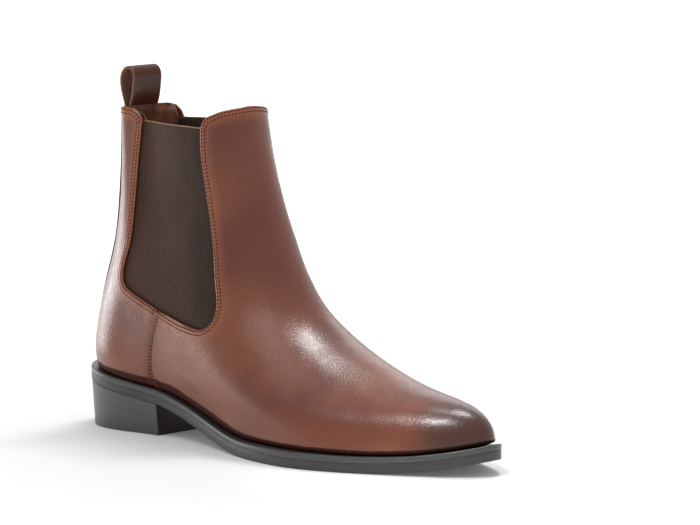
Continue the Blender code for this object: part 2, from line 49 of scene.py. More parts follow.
# ---------------------------------------------------------------- the last and the sole, in millimetres
# Sole: its plan is half widths along the length, and its underside is heel seat, arch and toe spring.
SOLE_LEN = 268.0
PLAN_KNOTS = [0, 0.08, 0.2, 0.42, 0.68, 0.86, 1.0]
SOLE_HALF = [63, 52, 35, 35, 49.5, 42, 38]
AXIS_KNOTS = [0, 0.2, 0.42, 0.68, 1.0]
AXIS_Y = [0, 0, -2, -4, 0]
BREAST_X = 62.5
HEEL_BACK_Z, HEEL_BREAST_Z = 25.0, 16.4
ARCH_SLOPE, TREAD_X0 = -0.22, 142.0
SPRING_X0, SPRING_Z, SPRING_POWER = 200.0, 8.0, 2.4
EDGE_HEEL, EDGE_FORE = 7.0, 8.0
WELT_T, WELT_W, GAP = 3.0, 9.5, 0.3
SLIT = 0.05                                    # joint line between two sole layers
TOP_PIECE_T, HEEL_TAPER = 4.0, 1.6

# Last: back and front outline and half widths, from the feather line (0) up to the collar (1).
BACK_S = np.arange(8) / 7.0
BACK_X = [4, 2.5, 2, 5, 12, 15.5, 17.5, 18]
BACK_Z = [30, 38, 50, 70, 95, 120, 145, 165]
FRONT_S = [0, 0.05] + [i / 7.0 for i in range(1, 8)]
FRONT_X = [264.5, 262.8, 251, 217.5, 178.5, 145, 125, 111, 102]
FRONT_Z = [14.5, 21, 30.5, 37.5, 49.5, 69, 100, 134, 172]
WIDTH_S = [0, 1 / 7.0, 3 / 7.0, 5 / 7.0, 1]
WIDTHS = [[58, 49.5, 33, 32.5, 45.5, 41, 37],
          [58, 51, 36, 35, 45.5, 41.5, 38],
          [40, 39, 34.5, 33, 39, 39, 37],
          [26, 28.5, 23.5, 23, 28, 33, 35],
          [26, 28.5, 20.5, 20.5, 26, 33, 35]]
SHAFT_Y = 1.5

# Cut lines of the upper, seen from the side: (x, z).
SEAM = [(61, 23.5), (59, 28), (58, 32), (58.3, 37), (60, 45.5), (62.8, 55.5), (64.8, 62.0), (65.5, 64.7)]
LOW_FRONT = [(66.5, 65.3), (82.5, 61.3), (96.0, 59.4), (104.3, 60.2), (108.4, 63.6)]
EDGE_FRONT = [(109.4, 69), (105.9, 80), (101.0, 98.5), (96.2, 118.5), (91.7, 138), (90.0, 149), (89.8, 159.3)]
LOW_REAR = [(64.5, 65.8), (49.2, 70.2), (41.3, 72.8), (36.0, 75.8)]
EDGE_REAR = [(34.0, 80), (34.2, 87), (36.2, 95), (37.0, 108), (37.4, 125), (38.3, 142), (40, 159.3)]
FRONT_TOP = [(89.8, 159.3), (90.8, 162.6), (93.5, 165.4), (97, 167.4), (100.5, 168.9), (102.4, 169.8)]
REAR_TOP = [(18, 165), (27, 165.5), (34, 165), (38, 162.8), (40, 159.3)]
UPPER_T = 1.5
MARGIN_W, MARGIN_MID = 8.0, 5.0                # lasting margin under the foot
ROLL_R = 2.4                                   # rounding where the upper turns under onto the welt
SEAM_HALF, BACK_SEAM_TH = 0.15, 0.006          # half gaps of the side seam and, as an angle, the back seam
SWELL, SWELL_AT, SWELL_W = 0.12, 1.9, 1.1      # height, place and width of the swelling by the stitches
BEHIND_EDGE = 9.0                              # keeps the warm painted edge highlight off the inner faces
LOW_X = [0, 40, 75, 110, 165, 268]             # along the boot, the height above the welt is scaled by this, which sets the width of the painted shade band and of the painted light at the foot
LOW_SCALE = [1, 0.95, 0.72, 0.72, 1.5, 1.8]    # this, which sets the width of the dark band at the foot

# Gores, linings and heel strip: _AT is how far a layer lies behind the upper's outer face.
GORE_TOP_Z = 158.8
GORE_KNOTS = [0, 0.25, 0.6, 1]
GORE_REAR = [[30.5, 70], [31, 90], [32.3, 125], [33.5, GORE_TOP_Z]]
GORE_FRONT = [[117.5, 56], [111.5, 85], [101.5, 122], [96.5, GORE_TOP_Z]]
GORE_AT, GORE_T = 2.0, 1.0
RIB, PICK, RIB_LEAN = 1.2, 1.0, 0.075          # width of a rib, height of a pick, backward lean of the ribs
LINING_AT, LINING_T, LINING_TOP_AT = 4.0, 0.8, 1.8
LINING_TAB_AT = 5.35                           # where it stands off the ends of the pull tab
BOTTOM_S = 0.045
STRIP_W, STRIP_T = 18.0, 1.0
STRIP_S, STRIP_HALF = [0, 0.4, 1], [0.62, 0.55, 0.55]
ACROSS = [-1, -0.98, -0.94, -0.88, -0.8, -0.5, -0.2, 0, 0.2, 0.5, 0.8, 0.88, 0.94, 0.98, 1]

# Pull tab: centre line of the folded strap, seen from the side.
TAB_W, TAB_T = 20.0, 1.6
TAB_SHAPE = [(20.3, 158.5), (20.1, 163), (19.1, 168), (18.4, 173), (18.8, 179), (21.4, 183.9), (25.4, 185.0),
             (28.1, 182.4), (27.7, 177.2), (25.6, 171), (23.2, 165.8), (22.1, 162.3), (22.0, 158.5)]
TAB_ACROSS = [-1, -0.985, -0.95, -0.9, -0.84, -0.7, -0.4, 0, 0.4, 0.7, 0.84, 0.9, 0.95, 0.985, 1]
ANCHOR_S0 = 0.87

# Stitches: each section of a thread and of a needle hole is (place along the thread), width and height.
RING = 6                                       # sides of a thread and of a needle hole
THREAD_LEN, THREAD_R, HOLE_R = 0.55, 0.26, 0.5  # the length is a share of the stitch pitch
THREAD_SHAPE = [(-0.5, 0.35, -0.25), (-0.32, 0.9, 0.0), (0.0, 1.0, 0.1), (0.32, 0.9, 0.0), (0.5, 0.35, -0.25)]
HOLE_SHAPE = [(1.0, -0.15), (0.85, 0.05), (0.35, 0.09)]
EDGE_ROWS, SEAM_LINES = (1.1, 2.8), (0.9, 2.3)  # how far the rows of stitches lie from edges and seams


def spline(xs, ys):
    """Natural cubic spline through the points; ys may hold several columns."""
    xs, ys = np.asarray(xs, float), np.asarray(ys, float)
    n, h = len(xs), np.diff(xs)
    a, r = np.eye(n), np.zeros(ys.shape)
    for i in range(1, n - 1):
        a[i, i - 1], a[i, i], a[i, i + 1] = h[i - 1], 2 * (h[i - 1] + h[i]), h[i]
        r[i] = 6 * ((ys[i + 1] - ys[i]) / h[i] - (ys[i] - ys[i - 1]) / h[i - 1])
    m = np.linalg.solve(a, r)

    def at(x):
        x = np.asarray(x, float)
        i = np.clip(np.searchsorted(xs, x) - 1, 0, n - 2)
        pad = (...,) + (None,) * (ys.ndim - 1)
        t, w, d = (x - xs[i])[pad], (xs[i + 1] - x)[pad], h[i][pad]
        return (m[i] * w ** 3 / (6 * d) + m[i + 1] * t ** 3 / (6 * d)
                + (ys[i] / d - m[i] * d / 6) * w + (ys[i + 1] / d - m[i + 1] * d / 6) * t)
    return at


def chord(points):
    """Length along the polyline up to each of its points."""
    p = np.asarray(points, float)
    return np.concatenate([[0], np.cumsum(np.linalg.norm(np.diff(p, axis=0), axis=1))])


def smooth(t):
    t = np.clip(t, 0, 1)
    return t * t * (3 - 2 * t)


PLAN = spline(PLAN_KNOTS, np.eye(7))
AXIS = spline(AXIS_KNOTS, AXIS_Y)
XB, ZB = spline(BACK_S, BACK_X), spline(BACK_S, BACK_Z)
XF, ZF = spline(FRONT_S, FRONT_X), spline(FRONT_S, FRONT_Z)
WROWS = spline(WIDTH_S, np.eye(5))


def edge_thickness(x):
    return EDGE_HEEL + (EDGE_FORE - EDGE_HEEL) * smooth((x - 40.0) / 90.0)


def tread_z(x):
    """Underside of the sole: heel seat, arch and toe spring."""
    x = np.clip(np.asarray(x, float), 0, SOLE_LEN)
    seat = HEEL_BACK_Z + (HEEL_BREAST_Z - HEEL_BACK_Z) * x / BREAST_X
    span = TREAD_X0 - BREAST_X
    t = np.clip((x - BREAST_X) / span, 0, 1)
    arch = HEEL_BREAST_Z * (2 * t ** 3 - 3 * t ** 2 + 1) + span * ARCH_SLOPE * (t ** 3 - 2 * t ** 2 + t)
    toe = SPRING_Z * np.clip((x - SPRING_X0) / (SOLE_LEN - SPRING_X0), 0, 1) ** SPRING_POWER
    return np.where(x < BREAST_X, seat, np.where(x < TREAD_X0, arch, toe))


def welt_z(x):
    return tread_z(x) + edge_thickness(x)


def move_in(raw, th, inset):
    """Point of the plan curve raw(th), moved inwards by inset."""
    e = 1e-4
    d = raw(th + e) - raw(th - e)
    d /= np.linalg.norm(d, axis=-1, keepdims=True)
    return raw(th) + np.stack([-d[..., 1], d[..., 0]], -1) * np.asarray(inset)[..., None]


def sole_edge(th, inset=0.0):
    def raw(a):
        u = (1 - np.cos(a)) / 2
        return np.stack([SOLE_LEN * u, AXIS(u) - np.sin(a) * (PLAN(u) @ np.array(SOLE_HALF, float))], -1)
    return move_in(raw, np.asarray(th, float), inset)


def last_point(th, s):
    """Outer face of the upper: th round the foot (0 heel, pi toe), s from the feather line to the collar."""
    th, s = np.broadcast_arrays(np.asarray(th, float), np.asarray(s, float))
    u, c = (1 - np.cos(th)) / 2, np.clip(s, 0, 1)
    half = (PLAN(u) @ np.array(WIDTHS, float).T * WROWS(c)).sum(-1)
    xb, xf, zb, zf = XB(c), XF(c), ZB(c), ZF(c)
    m, f = smooth(c / 0.7), 1 - smooth(c / 0.55)
    x = xb + (xf - xb) * u
    y = -np.sin(th) * half + (1 - m) * AXIS(u) + m * SHAFT_Y
    x0 = XB(0) + (XF(0) - XB(0)) * u
    sag = welt_z(x0) + GAP - (ZB(0) + (ZF(0) - ZB(0)) * u)
    return np.stack([x, y, zb + (zf - zb) * u + f * sag], -1)


def feather(th, inset=0.0):
    return move_in(lambda a: last_point(a, 0.0)[..., :2], np.asarray(th, float), inset)


def normal(th, s):
    """Outward direction of the last."""
    th, s = np.broadcast_arrays(np.asarray(th, float), np.asarray(s, float))
    c, e = np.clip(s, 0, 1), 1e-4
    lo, hi = np.clip(c - e, 0, 1), np.clip(c + e, 0, 1)
    n = np.cross(last_point(th + e, c) - last_point(th - e, c), last_point(th, hi) - last_point(th, lo))
    return n / np.linalg.norm(n, axis=-1, keepdims=True)


def locate(x, z):
    """(th, s) of a side-view point."""
    lo, hi = np.zeros(np.shape(x)), np.ones(np.shape(x))
    for _ in range(40):
        mid = (lo + hi) / 2
        u = np.clip((x - XB(mid)) / (XF(mid) - XB(mid)), 0, 1)
        low = last_point(np.arccos(1 - 2 * u), mid)[..., 2] < z
        lo, hi = np.where(low, mid, lo), np.where(low, hi, mid)
    return np.arccos(1 - 2 * u), mid


outline = sole_edge(np.linspace(0, 2 * np.pi, 721))
CENTRE = np.array([SOLE_LEN / 2, (outline[:, 1].min() + outline[:, 1].max()) / 2, 0.0])


def row(p):
    """Millimetre point to the shared frame, in metres."""
    return (np.asarray(p, float) - CENTRE) * 0.001


# ---------------------------------------------------------------- node materials
def lin(*rgb):
    """Linear colour from sRGB values of 0 to 255."""
    linear = [c / 255 / 12.92 if c <= 10.31 else ((c / 255 + 0.055) / 1.055) ** 2.4 for c in rgb]
    return tuple(linear) + (1.0,)


class Shader:
    """Small helper round one material's node tree."""

    def __init__(self, name, **constants):
        self.mat = bpy.data.materials.new(name)
        self.mat.use_nodes = True
        self.tree = self.mat.node_tree
        self.out = self.tree.nodes["Principled BSDF"]
        for key, value in constants.items():
            self.out.inputs[key.replace("_", " ")].default_value = value
        self.at = self.add("ShaderNodeTexCoord", out="Object")

    def add(self, kind, out=0, props=None, **inputs):
        n = self.tree.nodes.new(kind)
        for key, value in (props or {}).items():
            setattr(n, key, value)
        for key, value in inputs.items():
            key = int(key[1:]) if key[0] == "i" and key[1:].isdigit() else key.replace("_", " ")
            if isinstance(value, bpy.types.NodeSocket):
                self.tree.links.new(value, n.inputs[key])
            else:
                n.inputs[key].default_value = value
        return n.outputs[out]

    def noise(self, scale, detail=2.0, rough=0.5, at=None):
        at = at or self.at
        return self.add("ShaderNodeTexNoise", Vector=at, Scale=scale, Detail=detail, Roughness=rough)

    def cells(self, scale, feature="F1"):
        return self.add("ShaderNodeTexVoronoi", props={"feature": feature}, Vector=self.at, Scale=scale)

    def attr(self, name):
        return self.add("ShaderNodeAttribute", out="Fac", props={"attribute_name": name})

    def math(self, op, a, b=0.0, c=0.0):
        return self.add("ShaderNodeMath", props={"operation": op}, i0=a, i1=b, i2=c)

    def sway(self, value, pattern, amount, centre=0.5):
        """value, moved up and down by a pattern."""
        return self.math("ADD", value, self.math("MULTIPLY", self.math("SUBTRACT", pattern, centre), amount))

    def span(self, value, a, b, lo=0.0, hi=1.0):
        return self.add("ShaderNodeMapRange", props={"interpolation_type": "SMOOTHSTEP"}, Value=value,
                        From_Min=a, From_Max=b, To_Min=lo, To_Max=hi)

    def mix(self, fac, a, b):
        return self.add("ShaderNodeMix", out=2, props={"data_type": "RGBA"}, i0=fac, i6=a, i7=b)

    def stretch(self, x, y, z):
        return self.add("ShaderNodeMapping", Vector=self.at, Scale=(x, y, z))

    def bump(self, height, distance, strength=1.0, under=None):
        extra = {"Normal": under} if under else {}
        return self.add("ShaderNodeBump", Height=height, Distance=distance, Strength=strength, **extra)

    def finish(self, colour=None, rough=None, bump=None):
        for key, value in (("Base Color", colour), ("Roughness", rough), ("Normal", bump)):
            if value is not None:
                self.tree.links.new(value, self.out.inputs[key])
        return self.mat


# PAINTED_SHADE_BAND is painted shade: the dark red-brown where the upper turns under onto the welt.
PAINTED_SHADE_BAND, SEAM_SHADE, FLESH_AND_FILL = lin(58, 27, 21), lin(100, 38, 22), lin(128, 84, 62)
SHADE_BAND_TOP, SHADE_BAND_FOOT = 4.9, 3.7                 # the painted shade band above the welt fades in between these heights


def upper_shades(sh, colour, cloud, dark, warm, deep):
    """Colour of the lasted upper: burnished darkening, which down the shaft front is also painted shade; a
    painted highlight along the free edges; painted light towards the foot; a painted shade band above the
    welt; seams and toe.
    """
    # burnished darker, and down the shaft front painted shade where it turns from the lights
    colour = sh.mix(sh.math("MULTIPLY", sh.attr("burnish"), 0.75), colour, dark)
    # painted highlight: a warm, lighter strip within about 9 mm of the free edges stands in for light on
    # their rolled leather
    colour = sh.mix(sh.span(sh.sway(sh.attr("edge"), cloud, 4.0), 9.0, 0.5, 0.0, 0.6), colour, warm)
    low = sh.sway(sh.attr("low"), sh.noise(90.0), 1.2)
    # painted light: lighter and warmer towards the foot, where the lamps leave the lower upper too dark
    colour = sh.mix(sh.span(low, 36.0, 12.0, 0.0, 0.28), colour, warm)
    # painted shade: the upper turns dark red-brown just above the welt
    colour = sh.mix(sh.span(low, SHADE_BAND_TOP, SHADE_BAND_FOOT), colour, PAINTED_SHADE_BAND)
    colour = sh.mix(sh.span(sh.attr("seam"), 3.3, 2.6, 0.0, 0.5), colour, SEAM_SHADE)
    colour = sh.mix(sh.span(sh.attr("seam"), 0.7, 0.3, 0.0, 0.9), colour, deep)
    return sh.mix(sh.span(sh.attr("toe"), 0.0, 1.0, 0.0, 0.8), colour, deep), low


def leather(name, main, dark, warm, deep, base_rough=0.28, plain=False, coat=0.25, gloss=0.5):
    """Calf with fine pebble grain and cloudy colour; plain calf is only lighter at its cut edges and on its
    inner face, where the lift is also painted light in the shade inside the tab's loop.
    """
    sh = Shader(name, Coat_Weight=coat, Coat_Roughness=0.24, IOR=1.5, Specular_IOR_Level=gloss)
    cloud, fine = sh.noise(20.0, 2.5, 0.45), sh.noise(420.0, 3.0, 0.6)
    colour = sh.mix(sh.span(cloud, 0.36, 0.68), main, dark)
    colour = sh.mix(sh.span(fine, 0.35, 0.75, 0.0, 0.16), colour, deep)
    pebble = sh.cells(1150.0, "SMOOTH_F1")
    rough = sh.sway(sh.span(fine, 0.2, 0.8, base_rough - 0.03, base_rough + 0.07), pebble, 0.06, 0.3)
    if plain:
        colour = sh.mix(sh.span(sh.attr("edge"), 1.1, 0.5, 0.0, 0.85), colour, warm)
        # inner face: lighter underside of the skin, and painted light where the inside of the tab's loop lies
        # in shade
        colour = sh.mix(sh.math("MULTIPLY", sh.attr("flesh_and_fill"), 0.8), colour, FLESH_AND_FILL)
    else:
        colour, low = upper_shades(sh, colour, cloud, dark, warm, deep)
        # the painted shade band is also rougher and loses its specular, so that it stays dark
        rough = sh.math("MULTIPLY_ADD", sh.span(low, SHADE_BAND_TOP, SHADE_BAND_FOOT), 0.35, rough)
        matt = sh.span(low, SHADE_BAND_TOP, SHADE_BAND_FOOT, gloss, 0.0)
        sh.tree.links.new(matt, sh.out.inputs["Specular IOR Level"])
    grain = sh.math("ADD", pebble, sh.math("MULTIPLY", sh.cells(2300.0), 0.2))
    patchy = sh.math("MULTIPLY", grain, sh.span(sh.noise(60.0, 2.0), 0.25, 0.75, 0.45, 1.0))
    fine_bump = sh.bump(patchy, 0.00017, 0.8)
    return sh.finish(colour, rough, sh.bump(sh.noise(160.0, 3.0), 0.0005, 0.12, fine_bump))


# LEATHER's warm colour is painted light: the highlight along the free edges and the lift towards the foot.
LEATHER = leather("calf_leather", lin(125, 66, 40), lin(97, 41, 25), lin(158, 88, 52), lin(42, 17, 13))
TAB_LEATHER = leather("tab_leather", lin(80, 41, 25), lin(60, 29, 17), lin(116, 70, 46), lin(32, 14, 10),
                      base_rough=0.4, plain=True, coat=0.05, gloss=0.22)
# the heel strip is darker leather, and its dark colour also stands in for the shade along the back of the
# boot
STRIP_LEATHER = leather("strip_leather", lin(84, 42, 30), lin(64, 30, 22), lin(112, 62, 40), lin(36, 16, 12),
                        base_rough=0.36, plain=True, coat=0.15)


def suede_lining(name, light, shade):
    """Brushed lining leather, mottled, with a short nap."""
    sh = Shader(name, Sheen_Weight=0.25, Sheen_Roughness=0.5)
    cloud, fuzz = sh.noise(110.0, 5.0, 0.7), sh.noise(1500.0, 3.0, 0.7)
    colour = sh.mix(sh.span(cloud, 0.3, 0.7), light, shade)
    colour = sh.mix(sh.span(fuzz, 0.3, 0.75, 0.0, 0.45), colour, shade)
    nap = sh.noise(2600.0, 2.0, 0.6, sh.stretch(1.0, 1.0, 0.5))
    return sh.finish(colour, sh.span(fuzz, 0.2, 0.8, 0.78, 0.95), sh.bump(nap, 0.00018, 0.6))


LINING = suede_lining("suede_lining", lin(150, 88, 50), lin(72, 37, 21))
SOCK = suede_lining("sock_leather", lin(108, 70, 46), lin(84, 52, 34))


PICK_OFFSET = 0.36                             # from rib to rib, the picks shift by this share of a pick


def woven_elastic(name):
    """Ribbed elastic: upright covered rubber ribs, with the crossing threads between them."""
    sh = Shader(name, Specular_IOR_Level=0.25)
    u, v = sh.attr("rib"), sh.attr("pick")

    def wave(turns):
        return sh.math("MULTIPLY_ADD", sh.math("COSINE", sh.math("MULTIPLY", turns, 2 * np.pi)), 0.5, 0.5)

    offset = sh.math("MULTIPLY", sh.math("FLOOR", sh.math("ADD", u, 0.5)), PICK_OFFSET)
    rib, pick = wave(u), wave(sh.math("ADD", v, offset))
    high = sh.math("MULTIPLY", sh.span(rib, 0.05, 0.8, 0.15, 1.0), sh.span(pick, 0.05, 0.85, 0.2, 1.0))
    cloud = sh.noise(45.0, 3.0)
    ground, thread = lin(21, 13, 10), lin(112, 78, 61)
    colour = sh.mix(sh.math("MULTIPLY", high, sh.span(cloud, 0.3, 0.7, 0.8, 1.0)), ground, thread)
    colour = sh.mix(sh.span(sh.attr("shade"), 0.0, 1.0, 0.0, 0.5), colour, lin(22, 15, 13))
    fibre = sh.noise(3500.0, 2.0, 0.6, sh.stretch(1.0, 1.0, 0.3))
    height = sh.math("ADD", high, sh.math("MULTIPLY", fibre, 0.25))
    return sh.finish(colour, sh.span(fibre, 0.2, 0.8, 0.6, 0.8), sh.bump(height, 0.00028, 0.9))


ELASTIC = woven_elastic("woven_elastic")


def sole_finish(name, tone, dark, rough, breast=False):
    """Inked and waxed edge: satin, faintly brushed along its length, with small dull spots."""
    sh = Shader(name, Coat_Weight=0.15, Coat_Roughness=0.3)
    brushed = sh.noise(260.0, 4.0, 0.6, sh.stretch(0.12, 0.12, 4.0))
    spots = sh.noise(900.0, 3.0, 0.7)
    colour = sh.mix(sh.span(brushed, 0.3, 0.7), tone, dark)
    colour = sh.mix(sh.span(spots, 0.62, 0.8, 0.0, 0.5), colour, dark)
    if breast:
        # painted shade: the breast face, which lies in shade under the arch, turns dark red-brown
        x = sh.add("ShaderNodeSeparateXYZ", Vector=sh.at)
        face = row((BREAST_X, 0, 0))[0]
        colour = sh.mix(sh.span(x, face - 0.0005, face - 0.0002), colour, lin(34, 16, 15))
    height = sh.math("ADD", brushed, sh.math("MULTIPLY", spots, 0.4))
    return sh.finish(colour, sh.span(spots, 0.3, 0.75, rough, rough + 0.12), sh.bump(height, 0.00008, 0.5))


WELT = sole_finish("welt_edge", lin(77, 76, 76), lin(65, 64, 64), 0.34)
SOLE = sole_finish("outsole_edge", lin(62, 60, 60), lin(52, 50, 50), 0.45)
HEEL = sole_finish("heel_stack", lin(80, 78, 78), lin(73, 71, 71), 0.38, True)
TOP_PIECE = sole_finish("heel_rubber", lin(74, 73, 73), lin(64, 63, 63), 0.42, True)


def thread_finish(name, tone, dark, shine=0.4):
    """Twisted thread."""
    sh = Shader(name, Specular_IOR_Level=shine)
    twist = sh.add("ShaderNodeTexWave", props={"bands_direction": "DIAGONAL"}, Vector=sh.at, Scale=900.0,
                   Distortion=1.5, Detail=1.0)
    rough = sh.span(twist, 0.0, 1.0, 0.5, 0.7)
    return sh.finish(sh.mix(twist, tone, dark), rough, sh.bump(twist, 0.00006, 0.7))


THREAD = thread_finish("thread", lin(150, 84, 52), lin(106, 56, 34))
# the needle holes are dark discs: painted shade of the holes
HOLE = thread_finish("needle_hole_shade", lin(58, 22, 13), lin(42, 15, 9), 0.05)
TAN_EDGE = thread_finish("gore_selvage", lin(150, 112, 86), lin(110, 78, 58))


def dull(name, a, b, scale, rough, height=0.0001, metal=0.0):
    """Mottled material for the parts inside the boot."""
    sh = Shader(name, Metallic=metal)
    n1, n2 = sh.noise(scale, 4.0, 0.6), sh.noise(scale * 6, 3.0, 0.6)
    colour = sh.mix(sh.span(n1, 0.3, 0.7), a, b)
    return sh.finish(colour, sh.span(n2, 0.2, 0.8, rough - 0.06, rough + 0.06), sh.bump(n2, height, 0.5))


STIFF = dull("stiffener_felt", lin(196, 178, 148), lin(160, 140, 110), 300.0, 0.9)
BOARD = dull("insole_fibreboard", lin(178, 146, 110), lin(150, 118, 84), 240.0, 0.88)
FILLER = dull("cork_filler", lin(150, 112, 76), lin(96, 66, 42), 420.0, 0.92, 0.0003)
STEEL = dull("shank_steel", lin(170, 170, 172), lin(140, 140, 144), 200.0, 0.35, 0.00003, 1.0)


# ---------------------------------------------------------------- mesh helpers
def make(name, verts, faces, mat, stands_for=(), body="boot", values=None, merge=0.0):
    """Smooth mesh object from points in millimetres; values are its point attributes."""
    mesh = bpy.data.meshes.new(name)
    mesh.from_pydata(row(verts).tolist(), [], [tuple(int(i) for i in f) for f in faces])
    for key, array in (values or {}).items():
        layer = mesh.attributes.new(key, "FLOAT", "POINT")
        layer.data.foreach_set("value", np.asarray(array, np.float32).ravel())
    bm = bmesh.new()
    bm.from_mesh(mesh)
    if merge:
        bmesh.ops.remove_doubles(bm, verts=bm.verts, dist=merge)
    bmesh.ops.recalc_face_normals(bm, faces=bm.faces)
    bm.to_mesh(mesh)
    bm.free()
    mesh.polygons.foreach_set("use_smooth", [True] * len(mesh.polygons))
    mesh.materials.append(mat)
    obj = bpy.data.objects.new(name, mesh)
    SCENE.collection.objects.link(obj)
    if body:
        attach(obj, body)
    if stands_for:
        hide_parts(*stands_for)
    return obj


def grid_faces(rows, cols, closed=False):
    r, c = np.meshgrid(np.arange(rows - 1), np.arange(cols if closed else cols - 1), indexing="ij")
    d = (c + 1) % cols
    return np.stack([r * cols + c, r * cols + d, (r + 1) * cols + d, (r + 1) * cols + c], -1).reshape(-1, 4)


def shell_faces(rows, cols):
    """Outer grid, inner grid and the rim that joins them."""
    count = rows * cols
    ids = np.arange(count).reshape(rows, cols)
    rim = np.concatenate([ids[0], ids[1:, -1], ids[-1, -2::-1], ids[-2:0:-1, 0]])
    before = np.roll(rim, 1)
    quads = grid_faces(rows, cols)
    return np.concatenate([quads, quads[:, ::-1] + count,
                           np.stack([before, rim, rim + count, before + count], -1)])


def distance(points, lines):
    """Distance of each point from a set of polylines, each sampled finely."""
    fine = []
    for line in lines:
        k = chord(line)
        q = np.arange(0, k[-1], 0.06)
        fine.append(np.stack([np.interp(q, k, line[:, i]) for i in range(3)], -1))
    fine = np.concatenate(fine)
    tree = kdtree.KDTree(len(fine))
    for i, p in enumerate(fine):
        tree.insert(p, i)
    tree.balance()
    return np.array([tree.find(p)[2] for p in points.reshape(-1, 3)]).reshape(points.shape[:-1])


def unevenness(p, amount):
    """Slow, small unevenness of lasted leather."""
    out = [noise.noise(Vector(q / 22.0)) + 0.45 * noise.noise(Vector(q / 9.0)) for q in p.reshape(-1, 3)]
    return amount * np.array(out).reshape(p.shape[:-1])


def rounding(d, r):
    """How far a face drops at distance d from an edge that is rounded with radius r."""
    return np.where(d < r, r - np.sqrt(np.clip(r * r - (r - d) ** 2, 0, None)), 0.0)


def above_welt(p):
    return p[..., 2] - welt_z(p[..., 0]) - GAP


def roll_under(p, n):
    """Face points and outward directions, with the face rounded where it turns under onto the welt."""
    flat = n * np.array([1, 1, 0])
    flat /= np.linalg.norm(flat, axis=-1, keepdims=True)
    height = above_welt(p)
    turn = np.clip((ROLL_R - height) / ROLL_R, 0, 1)[..., None]
    face = n * np.sqrt(1 - turn ** 2) - np.array([0, 0, 1.0]) * turn
    face /= np.linalg.norm(face, axis=-1, keepdims=True)
    return p - flat * rounding(np.clip(height, 0, None), ROLL_R)[..., None], face


def lasting_margin(th, thick):
    """Outer and inner rows of points under the foot, where the upper is lasted inwards."""
    outer, inner = [], []
    for width in (MARGIN_W, MARGIN_MID):
        q = feather(th, width)
        z = welt_z(q[:, 0]) + GAP
        outer.append(np.column_stack([q, z]))
        inner.append(np.column_stack([q, z + thick]))
    return outer, inner


def sheet(name, th, s, mat, slot, stands_for, depth=0.0, thick=UPPER_T, rim=(0.9, 0.45), extra=None,
          lasted=False, free=None, step=0.0, uneven=0.0):
    """Leather or fabric panel on the last, with rounded edges (rim: outer and inner radius).

    depth is how far its outer face lies behind the upper's, and extra gives more point attributes. A lasted
    panel belongs to the upper: it is free only along the polylines in free, swells beside its stitches,
    steps at its seams, is a little uneven and turns under onto the welt.
    """
    p, n = last_point(th, s), normal(th, s)
    rows, cols = th.shape
    d = distance(p, free or [p[0], p[-1], p[:, 0], p[:, -1]])
    out_d, in_d = depth + rounding(d, rim[0]), depth + thick - rounding(d, rim[1])
    values = {"edge": d, "low": above_welt(p) * np.interp(p[..., 0], LOW_X, LOW_SCALE)}
    values.update(extra(th, p) if extra else {})
    if lasted:
        out_d = out_d - SWELL * np.exp(-((d - SWELL_AT) / SWELL_W) ** 2) + step
        out_d = out_d - unevenness(p, uneven) * smooth(d / 12.0) * smooth(values["seam"] / 9.0)
        in_d = in_d + step
        p, n = roll_under(p, n)
    outer, inner = p - n * out_d[..., None], p - n * in_d[..., None]
    if lasted:
        more_outer, more_inner = lasting_margin(th[0], thick)
        outer, inner = np.concatenate([more_outer, outer]), np.concatenate([more_inner, inner])
        values = {key: np.concatenate([v[:1], v[:1], v]) for key, v in values.items()}
        rows += len(more_outer)
    values = {key: np.concatenate([v.ravel(), v.ravel() + BEHIND_EDGE * (key == "edge")])
              for key, v in values.items()}
    verts = np.concatenate([outer.reshape(-1, 3), inner.reshape(-1, 3)])
    return make(name, verts, shell_faces(rows, cols), mat, stands_for, values=values)


def tube(name, points, radius, mat, sides=8):
    """Thin tube along the points, narrower at its two ends."""
    p = np.asarray(points, float)
    t = np.gradient(p, axis=0)
    t /= np.linalg.norm(t, axis=1, keepdims=True)
    side = np.cross(t, [0, 0, 1.0])
    side /= np.linalg.norm(side, axis=1, keepdims=True)
    up = np.cross(side, t)
    a = np.linspace(0, 2 * np.pi, sides, endpoint=False)
    cos, sin = np.cos(a)[None, :, None], np.sin(a)[None, :, None]
    scale = np.ones(len(p))
    scale[[0, -1]] = 0.3
    verts = p[:, None] + (radius * scale)[:, None, None] * (cos * side[:, None] + sin * up[:, None])
    faces = [tuple(f) for f in grid_faces(len(p), sides, True)]
    faces += [tuple(range(sides)), tuple((len(p) - 1) * sides + i for i in reversed(range(sides)))]
    return make(name, verts.reshape(-1, 3), faces, mat)


# ---------------------------------------------------------------- pattern of the upper
FINE = 6                                       # grid rows in one unit of a panel's height
SEAM_V, LOW_V, CORNER_V, TOP_V = 9, 10, 20, 40  # heights: seam's top, gore's bottom edge, its corner, collar
V_KEYS = [0, SEAM_V / TOP_V, (CORNER_V - 1) / TOP_V, 1]
NEAR = np.array([0, 0.0012, 0.0035, 0.007, 0.0125, 0.02, 0.03])   # closer grid lines beside a cut edge
UP_TO_NEAR = 0.96
SIDES = ((1, "lateral"), (-1, "medial"))


